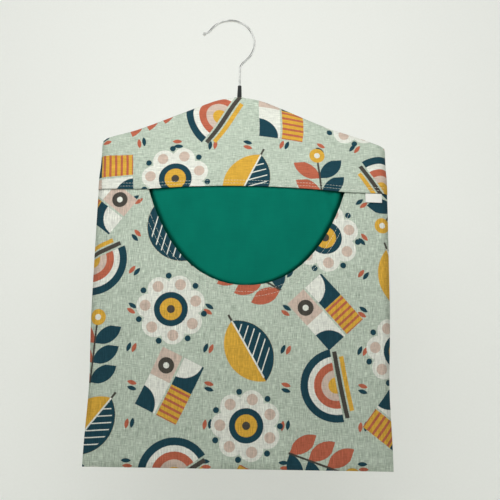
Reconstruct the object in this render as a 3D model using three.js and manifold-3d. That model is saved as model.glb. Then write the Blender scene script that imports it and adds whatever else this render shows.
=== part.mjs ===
// A peg bag: a lined cloth bag with a scooped mouth, on a slim moulded hanger with a swivelling wire hook.
// Millimetres. +Z is up, +X is to the right and the front of the bag faces -Y.
// The origin lies on the swivel axis, where that axis meets the inside of the hook's loop.

import * as THREE from "three";
import { mergeVertices } from "three/addons/utils/BufferGeometryUtils.js";
import Module from "manifold-3d";

const wasm = await Module();
wasm.setup();

// Cloth and clearances
const OUTER_CLOTH = 0.8; // printed canvas
const LINING_CLOTH = 0.5; // plain cotton
const LAYER_GAP = 0.4; // between two layers of cloth that lie on each other
const SEAM_GAP = 0.3; // between the front and the back where they are sewn together
const FIT_GAP = 0.3; // between the cloth and the hanger inside it
const SEAM_ALLOWANCE = 4; // from the sewn edge to the edge of a lining

// Bag outline
const BAG_WIDTH = 300; // across the shoulders
const BAG_FLARE = 2.5; // each side's reach past its shoulder at the bottom edge
const BAG_LENGTH = 382; // from the crown to the bottom edge
const SHOULDER_ANGLE = 21.5; // degrees below level
const CROWN_RADIUS = 86; // round between the two straight shoulders

// Bag depth
const EDGE_ROLL = 8; // width of the border over which the cloth rolls from the seam to its full depth
const MOUTH_BULGE = 12; // how far the front stands away from the hanger's plane at its fullest

// Mouth: a scoop in the front panel, closed on top by the hem of the yoke
const YOKE_LENGTH = 103.9; // from the crown down to the hem's ends
const HEM_ARCH = 4.2; // rise of the hem over the middle of the mouth
const HEM_OVERLAP = 14; // how far the front panel reaches up behind the yoke, beside the mouth
const MOUTH_WIDTH = 203;
const MOUTH_DEPTH = 99.4;
const MOUTH_SHIFT = 4; // the mouth's middle is this far to the right of the bag's
const MOUTH_SIDE_LEAN = 15.8; // the scoop's side handle: how far it leans in
const MOUTH_SIDE_DROP = 50; // and how far it drops
const MOUTH_FLOOR_HANDLE = 55.5; // the scoop's floor handle, along the floor

// Label sewn into the hem's seam
const LABEL_WIDTH = 17;
const LABEL_HEIGHT = 9.5;
const LABEL_THICKNESS = 0.8;
const LABEL_SIDE_GAP = 7; // from its end to the bag's side seam
const LABEL_DROP = 0.8; // gap under the hem

// Hook: one bent wire
const WIRE = 2.6; // diameter
const LOOP_RADIUS = 26.1; // all radii of the wire are at its centreline
const LOOP_SHIFT = -11; // loop's centre from the swivel axis
const LOOP_HEIGHT = 62.2; // loop's centre above the crown
const LOOP_EXIT = 45; // degrees below level where the loop runs on into the neck
const NECK_RADIUS = 11.5;
const TIP_START = 146; // degrees round from +X where the tip turns out of the loop
const TIP_RADIUS = 8.4;
const TIP_TURN = 29; // degrees
const TIP_STRAIGHT = 3.8;
const TIP_BALL = 4.2; // diameter
const HEAD_HEIGHT = 2.2; // upset head that keeps the hook in the hanger

// Neck bush: a tapered sleeve round the hook's shank, seated in the hanger's hub
const SHANK_GAP = 0.22; // running clearance round the wire
const BUSH_RISE = 13.5; // top of the bush above the crown
const BUSH_WALL = 0.48; // at the top
const BUSH_TAPER = 0.5; // how much thicker its wall is at the crown
const BUSH_FLANGE_REACH = 0.8; // flange past the sleeve
const BUSH_FLANGE_HEIGHT = 1.2;
const BUSH_SPIGOT_LENGTH = 6.5;
const BUSH_NOSE = 0.8; // height of the rounded top

// Hanger: a moulded bar of I section with a hub in the middle
const HANGER_THICKNESS = 7;
const ARM_END_PLAY = 2.5; // from an arm's end to where the bag's side starts to roll
const ARM_ROOT = 17; // depth of an arm beside the hub
const ARM_TIP = 11; // depth of an arm at its end
const FLANGE = 2.2;
const WEB = 2.2;
const RIB = 1.8; // stiffening ribs across the web
const RIB_BAYS = 4; // hollows along each arm
const HUB_WIDTH = 17;
const HUB_TAPER = 2.5; // each side of the hub leans in by this much towards its top
const HUB_SHOULDER = 8; // and starts to lean this far below its top
const HUB_DROP = 3; // hub's foot below the arms' undersides
const HUB_WALL = 0.8; // in front of and behind the hub's bore
const SPIGOT_GAP = 0.3; // round the bush's spigot
const HEAD_GAP = 0.4; // round the hook's head and under it
const HEAD_PLAY = 0.3; // between the head and the bush above it

// Facets
const WIRE_SIDES = 10;
const WIRE_STEPS = 84;
const ROUND_SIDES = 20;
const ROLL_STEPS = 4; // across the rolled border
const CROWN_COLUMNS = 6; // across the crown's arc
const SIDE_COLUMNS = 4; // from there to the rolled border
const FRONT_ROWS = 12;
const YOKE_ROWS = 5;
const BACK_ROWS = 3;
const HANGER_STEPS = 16; // along an arm
const TIP_STEPS = 8; // round the end of an arm
const WELD = 1e-4;

const rad = THREE.MathUtils.degToRad;
const { clamp, lerp, smoothstep } = THREE.MathUtils;
const half = BAG_WIDTH / 2;
const arcReach = CROWN_RADIUS * Math.sin(rad(SHOULDER_ANGLE)); // where the crown's arc ends in a shoulder

// Evenly spaced values, both ends included
const along = (from, to, steps) => Array.from({ length: steps + 1 }, (_, i) => lerp(from, to, i / steps));

// Heights, from the loop's inside down
const loopInside = LOOP_RADIUS - WIRE / 2;
const crownZ = -(LOOP_HEIGHT + Math.sqrt(loopInside ** 2 - LOOP_SHIFT ** 2));
const bottomZ = crownZ - BAG_LENGTH;
const hemZ = crownZ - YOKE_LENGTH;

// Radii of what turns about the swivel axis
const shankBore = WIRE / 2 + SHANK_GAP;
const bushTop = shankBore + BUSH_WALL;
const bushCrown = bushTop + BUSH_TAPER;
const hubBore = HANGER_THICKNESS / 2 - HUB_WALL;

// Depths, from the hanger's middle plane out
const liningInside = HANGER_THICKNESS / 2 + FIT_GAP;
const outerInside = liningInside + LINING_CLOTH + LAYER_GAP;

const materials = {
  print: new THREE.MeshStandardMaterial({ color: 0xb4c2b0, roughness: 0.9, metalness: 0 }),
  lining: new THREE.MeshStandardMaterial({ color: 0x11715f, roughness: 0.85, metalness: 0 }),
  label: new THREE.MeshStandardMaterial({ color: 0xf2f1ec, roughness: 0.7, metalness: 0 }),
  chrome: new THREE.MeshStandardMaterial({ color: 0xc8cac8, roughness: 0.15, metalness: 1 }),
  plastic: new THREE.MeshStandardMaterial({ color: 0x23262a, roughness: 0.45, metalness: 0 }),
};

// Geometry into a closed solid for joining and cutting, and back

function toSolid(geometry) {
  const bare = new THREE.BufferGeometry();
  bare.setAttribute("position", geometry.getAttribute("position"));
  bare.setIndex(geometry.index);
  const welded = mergeVertices(bare, WELD);
  return new wasm.Manifold(
    new wasm.Mesh({
      numProp: 3,
      vertProperties: welded.attributes.position.array,
      triVerts: new Uint32Array(welded.index.array),
    }),
  );
}

function toGeometry(solid) {
  const mesh = solid.getMesh();
  const geometry = new THREE.BufferGeometry();
  geometry.setAttribute("position", new THREE.BufferAttribute(mesh.vertProperties, 3));
  geometry.setIndex(new THREE.BufferAttribute(mesh.triVerts, 1));
  geometry.computeVertexNormals();
  return geometry;
}

// A shape drawn in X and Z, extruded along Y between two depths
function slab(shape, fromY, toY) {
  const options = { depth: toY - fromY, bevelEnabled: false, curveSegments: ROUND_SIDES };
  const geometry = new THREE.ExtrudeGeometry(shape, options);
  geometry.rotateX(Math.PI / 2);
  geometry.translate(0, toY, 0);
  return geometry;
}

// A solid of revolution about the swivel axis, from [radius, height] pairs
function turned(profile) {
  const points = profile.map(([radius, height]) => new THREE.Vector2(radius, height));
  return new THREE.LatheGeometry(points, ROUND_SIDES).rotateX(Math.PI / 2);
}

// Bag outline and depth

// The shoulders: an arc over the crown, then straight lines that leave it without a corner
function shoulderZ(x) {
  const away = Math.abs(x);
  const onArc = Math.min(away, arcReach);
  const arcFall = CROWN_RADIUS - Math.sqrt(CROWN_RADIUS ** 2 - onArc ** 2);
  return crownZ - arcFall - (away - onArc) * Math.tan(rad(SHOULDER_ANGLE));
}

const halfWidth = (z) => half + BAG_FLARE * clamp((crownZ - z) / BAG_LENGTH, 0, 1);

function hemHeight(x) {
  const across = (x - MOUTH_SHIFT) / (MOUTH_WIDTH / 2);
  return hemZ + HEM_ARCH * Math.max(0, 1 - across ** 2);
}

// Share of the full depth that the cloth has reached at a distance from the seam
const roll = (distance) => Math.sin((Math.PI / 2) * clamp(distance / EDGE_ROLL, 0, 1));

function rolled(x, z) {
  return roll(halfWidth(z) - Math.abs(x)) * roll(shoulderZ(x) - z) * roll(z - bottomZ);
}

// Extra depth of the front: fullest halfway down, none at the seams and over the hanger
function bulge(x, z) {
  const across = 1 - (x / halfWidth(z)) ** 2;
  const upward = Math.sin(Math.PI * clamp((z - bottomZ) / BAG_LENGTH, 0, 1)) ** 2;
  return MOUTH_BULGE * Math.max(0, across) * upward;
}

// Inner faces of the outer cloth, as depths from the seam's plane
const edgeDepth = SEAM_GAP / 2;
const backDepth = (x, z) => edgeDepth + (outerInside - edgeDepth) * rolled(x, z);
const frontDepth = (x, z) => backDepth(x, z) + bulge(x, z);

// The yoke lies over the front panel where they overlap, with its own lining between them
const hemStack = OUTER_CLOTH + LAYER_GAP + LINING_CLOTH + LAYER_GAP;

function yokeDepth(x, z) {
  const above = (z - hemHeight(x) - HEM_OVERLAP) / HEM_OVERLAP;
  return frontDepth(x, z) + hemStack * (1 - smoothstep(above, 0, 1));
}

// Cloth sheets

// Steps across the rolled border, from an inset inwards
const rollFrom = (inset) => [inset, ...along(0, EDGE_ROLL, ROLL_STEPS).filter((d) => d > inset)];

// Columns across a sheet, as shares of the half width, out to an inset from the seam
function columnsFrom(inset) {
  const arc = arcReach / half;
  const crown = along(-arc, arc, CROWN_COLUMNS);
  const side = along(arc, 1 - EDGE_ROLL / half, SIDE_COLUMNS).slice(1, -1);
  const rim = rollFrom(inset).map((d) => 1 - d / half);
  const right = [...side, ...rim.reverse()];
  return [...right.map((u) => -u).reverse(), ...crown, ...right];
}

// Rows of a sheet are height functions of X
const risingFrom = (edge, inset) => rollFrom(inset).map((d) => (x) => edge(x) + d);
const fallingTo = (edge, inset) => rollFrom(inset).map((d) => (x) => edge(x) - d).reverse();

function rowsBetween(low, high, count) {
  const shares = along(0, 1, count).slice(1, -1);
  return shares.map((share) => (x) => lerp(low(x), high(x), share));
}

// A closed sheet between two faces, given as depths from the seam's plane; side is -1 in front and 1 behind
function sheet(columns, rows, inner, outer, side) {
  const positions = [];
  const faces = [];
  const across = columns.length;
  const up = rows.length;
  for (const depth of [inner, outer]) {
    for (const row of rows) {
      for (const u of columns) {
        const z = row(u * half);
        const x = u * halfWidth(z);
        positions.push(x, side * depth(x, z), z);
      }
    }
  }
  const at = (layer, i, j) => layer * across * up + j * across + i;
  const quad = (a, b, c, d) => faces.push(a, b, c, a, c, d);
  for (let j = 0; j < up - 1; j++) {
    for (let i = 0; i < across - 1; i++) {
      quad(at(1, i, j), at(1, i + 1, j), at(1, i + 1, j + 1), at(1, i, j + 1));
      quad(at(0, i, j), at(0, i, j + 1), at(0, i + 1, j + 1), at(0, i + 1, j));
    }
  }
  for (let i = 0; i < across - 1; i++) {
    quad(at(0, i, 0), at(0, i + 1, 0), at(1, i + 1, 0), at(1, i, 0));
    quad(at(1, i, up - 1), at(1, i + 1, up - 1), at(0, i + 1, up - 1), at(0, i, up - 1));
  }
  for (let j = 0; j < up - 1; j++) {
    quad(at(0, 0, j), at(1, 0, j), at(1, 0, j + 1), at(0, 0, j + 1));
    quad(at(1, across - 1, j), at(0, across - 1, j), at(0, across - 1, j + 1), at(1, across - 1, j + 1));
  }
  if (side > 0) {
    for (let k = 0; k < faces.length; k += 3) {
      [faces[k + 1], faces[k + 2]] = [faces[k + 2], faces[k + 1]];
    }
  }
  const geometry = new THREE.BufferGeometry();
  geometry.setAttribute("position", new THREE.BufferAttribute(new Float32Array(positions), 3));
  geometry.setIndex(faces);
  return geometry;
}

const outward = (depth, distance) => (x, z) => depth(x, z) + distance;
const outerFaces = (depth) => [depth, outward(depth, OUTER_CLOTH)];
const liningFaces = (depth) => [outward(depth, -LAYER_GAP - LINING_CLOTH), outward(depth, -LAYER_GAP)];

const bottomEdge = () => bottomZ;
const bottomRolled = () => bottomZ + EDGE_ROLL;
const shoulderRolled = (x) => shoulderZ(x) - EDGE_ROLL;
const frontTop = (x) => hemHeight(x) + HEM_OVERLAP;

function backRows(inset) {
  const middle = rowsBetween(bottomRolled, shoulderRolled, BACK_ROWS);
  return [...risingFrom(bottomEdge, inset), ...middle, ...fallingTo(shoulderZ, inset)];
}

function frontRows(inset) {
  return [...risingFrom(bottomEdge, inset), ...rowsBetween(bottomRolled, frontTop, FRONT_ROWS), frontTop];
}

function yokeRows(inset) {
  const middle = rowsBetween(frontTop, shoulderRolled, YOKE_ROWS);
  const overlap = rowsBetween(hemHeight, frontTop, 2);
  return [hemHeight, ...overlap, frontTop, ...middle, ...fallingTo(shoulderZ, inset)];
}

// The scoop, as a cutter that opens the front panel from its floor up through its top edge
function mouthCutter() {
  const lid = hemZ + HEM_ARCH + 2 * HEM_OVERLAP;
  const low = hemZ - MOUTH_SIDE_DROP;
  const floor = hemZ - MOUTH_DEPTH;
  const [left, right] = [-1, 1].map((side) => ({
    edge: MOUTH_SHIFT + (side * MOUTH_WIDTH) / 2,
    lean: MOUTH_SHIFT + side * (MOUTH_WIDTH / 2 - MOUTH_SIDE_LEAN),
    handle: MOUTH_SHIFT + side * MOUTH_FLOOR_HANDLE,
  }));
  const shape = new THREE.Shape();
  shape.moveTo(left.edge, lid);
  shape.lineTo(left.edge, hemZ);
  shape.bezierCurveTo(left.lean, low, left.handle, floor, MOUTH_SHIFT, floor);
  shape.bezierCurveTo(right.handle, floor, right.lean, low, right.edge, hemZ);
  shape.lineTo(right.edge, lid);
  const reach = outerInside + MOUTH_BULGE + hemStack + 2 * OUTER_CLOTH;
  return toSolid(slab(shape, -reach, edgeDepth));
}

// The gap in the crown's seam that the bush comes up through
function neckCutter() {
  const radius = bushCrown + FIT_GAP;
  const low = crownZ - EDGE_ROLL;
  const high = crownZ + EDGE_ROLL;
  return toSolid(turned([[0, low], [radius, low], [radius, high], [0, high]]));
}

const mouth = mouthCutter();
const neckGap = neckCutter();
const fullColumns = columnsFrom(0);
const liningColumns = columnsFrom(SEAM_ALLOWANCE);

function backPanel() {
  return toGeometry(toSolid(sheet(fullColumns, backRows(0), ...outerFaces(backDepth), 1)).subtract(neckGap));
}

function backLining() {
  const whole = sheet(liningColumns, backRows(SEAM_ALLOWANCE), ...liningFaces(backDepth), 1);
  return toGeometry(toSolid(whole).subtract(neckGap));
}

function frontPanel() {
  return toGeometry(toSolid(sheet(fullColumns, frontRows(0), ...outerFaces(frontDepth), -1)).subtract(mouth));
}

function frontLining() {
  const whole = sheet(liningColumns, frontRows(SEAM_ALLOWANCE), ...liningFaces(frontDepth), -1);
  return toGeometry(toSolid(whole).subtract(mouth));
}

function frontYoke() {
  return toGeometry(toSolid(sheet(fullColumns, yokeRows(0), ...outerFaces(yokeDepth), -1)).subtract(neckGap));
}

function yokeLining() {
  const whole = sheet(liningColumns, yokeRows(SEAM_ALLOWANCE), ...liningFaces(yokeDepth), -1);
  return toGeometry(toSolid(whole).subtract(neckGap));
}

// A short tape that hangs from the hem and follows the front panel behind it
function label() {
  const right = 1 - LABEL_SIDE_GAP / half;
  const left = right - LABEL_WIDTH / half;
  const columns = [left, ...fullColumns.filter((u) => u > left && u < right), right];
  const top = (x) => hemHeight(x) - LABEL_DROP;
  const rows = [(x) => top(x) - LABEL_HEIGHT, (x) => top(x) - LABEL_HEIGHT / 2, top];
  const back = outward(frontDepth, OUTER_CLOTH + LAYER_GAP);
  return sheet(columns, rows, back, outward(back, LABEL_THICKNESS), -1);
}

// Hook

class WirePath extends THREE.Curve {
  constructor(path) {
    super();
    this.path = path;
  }

  getPoint(t, target = new THREE.Vector3()) {
    const point = this.path.getPoint(t);
    return target.set(point.x, 0, point.y);
  }
}

// Heights of the bush and of the hook's head, from the hub's top face down
const hangerSeat = EDGE_ROLL + FIT_GAP;
const hubTop = crownZ - hangerSeat;
const spigotEnd = hubTop - BUSH_SPIGOT_LENGTH;
const headTop = spigotEnd - HEAD_PLAY;
const headEnd = headTop - HEAD_HEIGHT;

// The wire's route from its tip, over the loop and down the shank, and where the tip's ball sits
function wireRoute() {
  const loopZ = crownZ + LOOP_HEIGHT;
  const onLoop = (degrees, radius) => [
    LOOP_SHIFT + radius * Math.cos(rad(degrees)),
    loopZ + radius * Math.sin(rad(degrees)),
  ];
  const [tipX, tipZ] = onLoop(TIP_START, LOOP_RADIUS + TIP_RADIUS);
  const tipTo = TIP_START + 180;
  const tipFrom = tipTo - TIP_TURN;
  const tipBend = new THREE.Vector2(Math.cos(rad(tipFrom)), Math.sin(rad(tipFrom)));
  tipBend.multiplyScalar(TIP_RADIUS).add(new THREE.Vector2(tipX, tipZ));
  const ball = new THREE.Vector2(Math.sin(rad(tipFrom)), -Math.cos(rad(tipFrom)));
  ball.multiplyScalar(TIP_STRAIGHT).add(tipBend);
  const [exitX, exitZ] = onLoop(-LOOP_EXIT, LOOP_RADIUS);
  const neckStartX = NECK_RADIUS * (1 - Math.cos(rad(LOOP_EXIT)));
  const straight = (exitX - neckStartX) / Math.sin(rad(LOOP_EXIT));
  const neckZ = exitZ - straight * Math.cos(rad(LOOP_EXIT)) - NECK_RADIUS * Math.sin(rad(LOOP_EXIT));
  const path = new THREE.Path();
  path.moveTo(ball.x, ball.y);
  path.lineTo(tipBend.x, tipBend.y);
  path.absarc(tipX, tipZ, TIP_RADIUS, rad(tipFrom), rad(tipTo), false);
  path.absarc(LOOP_SHIFT, loopZ, LOOP_RADIUS, rad(TIP_START), rad(-LOOP_EXIT), true);
  path.absarc(NECK_RADIUS, neckZ, NECK_RADIUS, rad(180 - LOOP_EXIT), Math.PI, false);
  path.lineTo(0, headTop - HEAD_HEIGHT / 2);
  return { path, ball };
}

function hook() {
  const { path, ball } = wireRoute();
  const section = new THREE.Shape();
  for (let i = 0; i < WIRE_SIDES; i++) {
    const turn = (2 * Math.PI * i) / WIRE_SIDES;
    const point = [(WIRE / 2) * Math.cos(turn), (WIRE / 2) * Math.sin(turn)];
    if (i === 0) section.moveTo(...point);
    else section.lineTo(...point);
  }
  const options = { steps: WIRE_STEPS, bevelEnabled: false, extrudePath: new WirePath(path) };
  const wire = toSolid(new THREE.ExtrudeGeometry(section, options));
  const bead = new THREE.SphereGeometry(TIP_BALL / 2, ROUND_SIDES, ROUND_SIDES / 2);
  const headRadius = hubBore - HEAD_GAP;
  const head = turned([[0, headEnd], [headRadius, headEnd], [headRadius, headTop], [0, headTop]]);
  return toGeometry(wire.add(toSolid(bead.translate(ball.x, 0, ball.y))).add(toSolid(head)));
}

// Bush and hanger

function neckBush() {
  const top = crownZ + BUSH_RISE;
  const spigot = hubBore - SPIGOT_GAP;
  const flange = bushCrown + BUSH_FLANGE_REACH;
  const flangeTop = hubTop + BUSH_FLANGE_HEIGHT;
  return turned([
    [shankBore, spigotEnd],
    [spigot, spigotEnd],
    [spigot, hubTop],
    [flange, hubTop],
    [flange, flangeTop],
    [bushCrown, flangeTop],
    [bushCrown, crownZ],
    [bushTop, top - BUSH_NOSE],
    [(shankBore + bushTop) / 2, top],
    [shankBore, top],
    [shankBore, spigotEnd],
  ]);
}

// A point under the shoulder, at a depth square to it
function underShoulder(x, depth) {
  const step = 0.5;
  const slope = (shoulderZ(x + step) - shoulderZ(x - step)) / (2 * step);
  const length = Math.hypot(1, slope);
  return new THREE.Vector2(x + (slope * depth) / length, shoulderZ(x) - depth / length);
}

const armReach = half - EDGE_ROLL - ARM_END_PLAY - ARM_TIP / 2; // to the middle of an arm's rounded end
const armDepth = (x) => lerp(ARM_ROOT, ARM_TIP, Math.abs(x) / armReach);

// Both arms in one outline: over the top, round one end, back underneath and round the other end
function armsShape() {
  const stations = along(-armReach, armReach, 2 * HANGER_STEPS);
  const top = stations.map((x) => underShoulder(x, hangerSeat));
  const under = stations.map((x) => underShoulder(x, hangerSeat + armDepth(x))).reverse();
  const end = (from, to) => {
    const middle = from.clone().lerp(to, 0.5);
    const spoke = from.clone().sub(middle);
    return along(0, -Math.PI, TIP_STEPS)
      .slice(1, -1)
      .map((turn) => spoke.clone().rotateAround(new THREE.Vector2(), turn).add(middle));
  };
  const right = end(top[top.length - 1], under[0]);
  const left = end(under[under.length - 1], top[0]);
  return new THREE.Shape([...top, ...right, ...under, ...left]);
}

function hubShape() {
  const foot = underShoulder(0, hangerSeat + ARM_ROOT).y - HUB_DROP;
  const wide = HUB_WIDTH / 2;
  const narrow = wide - HUB_TAPER;
  const neck = hubTop - HUB_SHOULDER;
  const right = [[wide, foot], [wide, neck], [narrow, hubTop]];
  const left = right.map(([x, z]) => [-x, z]).reverse();
  return new THREE.Shape([...right, ...left].map(([x, z]) => new THREE.Vector2(x, z)));
}

// One hollow between the flanges and two ribs of an arm, on the front or the back
function bayShape(side, bay) {
  const start = HUB_WIDTH / 2 + RIB;
  const pitch = (armReach - start) / RIB_BAYS;
  const from = side * (start + bay * pitch);
  const to = side * (start + (bay + 1) * pitch - RIB);
  const top = along(from, to, 2).map((x) => underShoulder(x, hangerSeat + FLANGE));
  const under = along(to, from, 2).map((x) => underShoulder(x, hangerSeat + armDepth(x) - FLANGE));
  return new THREE.Shape([...top, ...under]);
}

function hangerBar() {
  const face = HANGER_THICKNESS / 2;
  let bar = toSolid(slab(armsShape(), -face, face)).add(toSolid(slab(hubShape(), -face, face)));
  for (const side of [-1, 1]) {
    for (let bay = 0; bay < RIB_BAYS; bay++) {
      const shape = bayShape(side, bay);
      bar = bar.subtract(toSolid(slab(shape, -2 * face, -WEB / 2)));
      bar = bar.subtract(toSolid(slab(shape, WEB / 2, 2 * face)));
    }
  }
  const floor = headEnd - HEAD_GAP;
  const rim = hubTop + FIT_GAP;
  const well = turned([[0, floor], [hubBore, floor], [hubBore, rim], [0, rim]]);
  return toGeometry(bar.subtract(toSolid(well)));
}

// Assembly

function piece(name, geometry, material) {
  const mesh = new THREE.Mesh(geometry, material);
  mesh.name = name;
  return mesh;
}

const hookGroup = new THREE.Group();
hookGroup.add(piece("hook", hook(), materials.chrome));

const hangerGroup = new THREE.Group();
hangerGroup.add(piece("hanger_bar", hangerBar(), materials.plastic));
hangerGroup.add(piece("neck_bush", neckBush(), materials.plastic));

const bagGroup = new THREE.Group();
bagGroup.add(piece("back_panel", backPanel(), materials.print));
bagGroup.add(piece("back_lining", backLining(), materials.lining));
bagGroup.add(piece("front_panel", frontPanel(), materials.print));
bagGroup.add(piece("front_lining", frontLining(), materials.lining));
bagGroup.add(piece("front_yoke", frontYoke(), materials.print));
bagGroup.add(piece("yoke_lining", yokeLining(), materials.lining));
bagGroup.add(piece("label", label(), materials.label));

const pegBag = new THREE.Group();
pegBag.add(hookGroup, hangerGroup, bagGroup);

export default pegBag;
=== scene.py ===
"""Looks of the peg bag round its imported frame: sewn cloth, thread, tag, plated wire and moulded plastic.

Metres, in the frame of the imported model: +Z is up and the front of the bag faces -Y.
A place is a point of the flat cloth, as X and Z; a depth is its distance from the plane of the seams.
"""

import math

import bmesh
import bpy
import numpy as np
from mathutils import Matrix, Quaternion, Vector


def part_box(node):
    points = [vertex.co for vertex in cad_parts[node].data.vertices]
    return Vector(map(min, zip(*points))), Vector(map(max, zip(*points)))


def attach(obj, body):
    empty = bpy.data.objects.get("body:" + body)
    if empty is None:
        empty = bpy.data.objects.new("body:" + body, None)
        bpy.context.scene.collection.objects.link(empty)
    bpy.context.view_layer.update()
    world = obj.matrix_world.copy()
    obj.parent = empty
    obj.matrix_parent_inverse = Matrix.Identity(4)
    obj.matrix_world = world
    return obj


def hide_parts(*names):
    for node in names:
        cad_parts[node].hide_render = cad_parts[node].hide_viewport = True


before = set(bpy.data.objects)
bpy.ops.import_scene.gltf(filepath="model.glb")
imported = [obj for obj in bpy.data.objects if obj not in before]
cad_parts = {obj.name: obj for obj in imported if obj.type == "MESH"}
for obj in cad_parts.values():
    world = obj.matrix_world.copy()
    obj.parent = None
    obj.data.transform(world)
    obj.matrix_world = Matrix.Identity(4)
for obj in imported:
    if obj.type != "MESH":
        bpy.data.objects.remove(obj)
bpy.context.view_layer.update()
scene = bpy.context.scene

MM = 0.001
TURN = 2 * math.pi

# Cloth
CANVAS = 0.8 * MM
LINING = 0.5 * MM
LAYER_GAP = 0.2 * MM  # between two layers of cloth that lie on each other
SEAM_DEPTH = 0.15 * MM  # from the plane of the seams to the cloth on either side
SEAM_FOLD = 1.0 * MM  # over which a turned seam rounds off
SEAM_ALLOWANCE = 4 * MM  # from a seam to the edge of a lining
INSIDE_DEPTH = 4.7 * MM  # of the outer cloth's inner face over the hanger
FOOT_SHARE = 0.4  # share of that depth which the empty bag keeps along its bottom
FOOT_REACH = 100 * MM
WELD = 1e-6

# Bag, from the frame
HALF_SHOULDER = 150 * MM
HALF_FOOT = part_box("back_panel")[1].x
CROWN_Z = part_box("back_panel")[1].z
BOTTOM_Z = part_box("back_panel")[0].z
HEM_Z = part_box("front_yoke")[0].z
BAG_LENGTH = CROWN_Z - BOTTOM_Z
CROWN_RADIUS = 86 * MM
SHOULDER_SLOPE = math.radians(21.5)
ARC_REACH = CROWN_RADIUS * math.sin(SHOULDER_SLOPE)
EDGE_ROLL = 8 * MM  # border over which the cloth rolls from a seam to its full depth
MOUTH_BULGE = 12 * MM
NECK_OPENING = 2.9 * MM  # half the gap in the crown's seam, round the sleeve
NECK_SLIT = 8 * MM  # half the length of that gap

# Yoke and mouth
HEM_ARCH = 4.2 * MM
HEM_OVERLAP = 14 * MM  # how far the front panel reaches up behind the yoke
HEM_STACK = CANVAS + LINING + 2 * LAYER_GAP
MOUTH_SHIFT = 4 * MM
MOUTH_HALF = 101.5 * MM
MOUTH_DEPTH = 99.4 * MM
MOUTH_LEAN = 15.8 * MM
MOUTH_DROP = 50 * MM
FLOOR_HANDLE = 55.5 * MM
BEHIND_STEPS = 6  # along the mouth's edge where it goes up behind the yoke
CORNER_SHARE = 0.6  # share of half the mouth's edge whose cloth runs out to a side seam

# Sewing
HEM_ROWS = (2.6 * MM, 5.8 * MM)  # rows of stitches, from the edge
MOUTH_ROWS = (6 * MM, 11 * MM)
STITCH_PITCH = 3.1 * MM
STITCH_LENGTH = 2.8 * MM
THREAD_RADIUS = 0.18 * MM
GROOVE_DEPTH = 0.22 * MM
GROOVE_WIDTH = 0.7 * MM
PUCKER = 0.16 * MM
PUCKER_PITCH = 11 * MM
PUCKER_WANDER = 1.4  # how far their spacing comes and goes
PUCKER_DRIFT = 4.3 * PUCKER_PITCH  # and over which length
PUCKER_REACH = 13 * MM
ROW_END = 1.5 * MM  # from a side seam to the end of a row
ROW_POINTS = 400
STITCH_SIDES = 6

# Tag
TAPE_CLOTH = 0.3 * MM
TAPE_BEND = 0.25 * MM  # radius of its fold
TAPE_LIFT = 0.5 * MM

# How the cloth hangs
DRAPE = 0.9 * MM  # height of the soft upright waves in the front
DRAPE_WAVES = ((118 * MM, 0.12, 0.6, 1), (61 * MM, -0.2, 2.1, 0.45))  # length, lean, phase and share
DRAPE_SIDE = 45 * MM  # over which they grow from a side seam
DRAPE_TOP = 110 * MM  # and from the hem
SIDE_PUCKER = 0.35 * MM
SIDE_PUCKER_SPREAD = 17 * MM  # the waves are pi times as long
SIDE_PUCKER_DRIFT = 41 * MM  # and their spacing drifts over TURN times this
SIDE_PUCKER_REACH = 11 * MM
WAIST = 2.2 * MM  # how far each side draws in above the bottom corners
WAIST_Z = BOTTOM_Z + 80 * MM
WAIST_REACH = 45 * MM
SHOULDER_DRAW = 1.4 * MM  # and under the corners of its shoulders
SHOULDER_Z = CROWN_Z - 62 * MM
SHOULDER_REACH = 28 * MM
SLIDE = 5.6 * MM  # how far the bag has slid to the right on the hanger's arms
SLIDE_REACH = 45 * MM
RIGHT_DIP = (88 * MM, 3 * MM, 36 * MM)  # middle, depth and reach of a dip in the right shoulder
LEFT_RISE = (-146 * MM, -3.6 * MM, 24 * MM)  # and of a rise at the left one's end
CORNER_PULL = 0.9 * MM  # how far a shoulder's turned corner stays back, along and across
CORNER_REACH = 3.5 * MM

# How the back lining hangs loose
LIFT_ROOM = 55 * MM  # under the shoulders, kept clear for the hanger and the lift of the bag
LOOSE_TOP = 12 * MM  # least height over which it comes forward under that room
LOOSE_FOOT = 150 * MM  # height over which it comes forward above the bottom
LOOSE_EDGE = 14 * MM  # border along the sides that stays back
LOOSE_SIDE = 25 * MM  # width over which it comes forward beside that border
LINING_CLEARANCE = 0.5 * MM  # between the two linings behind the mouth
HEM_NEARNESS = 1.5 * MM  # how much nearer it comes under the hem
NEAR_DROP = 22 * MM  # below the hem, where that starts
NEAR_RISE = 20 * MM
NEAR_END = 12 * MM  # inside the mouth's ends, where it stops
NEAR_FADE = 25 * MM
SIDE_CREVICE = 10.5 * MM  # depth to which it falls away at the mouth's sides
FLOOR_CREVICE = 3.2 * MM  # and at the mouth's floor
CREVICE_SLOPE = 0.62  # width of that fall over its depth
FOLDS = 0.7 * MM  # height of the small folds near the mouth's right end
FOLDS_X = 92 * MM
FOLDS_WIDTH = 14 * MM
FOLDS_PITCH = 13 * MM
FOLDS_LEAN = 0.25
FOLDS_DROP = 75 * MM  # below the hem, where they start
FOLDS_RISE = 40 * MM

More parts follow.
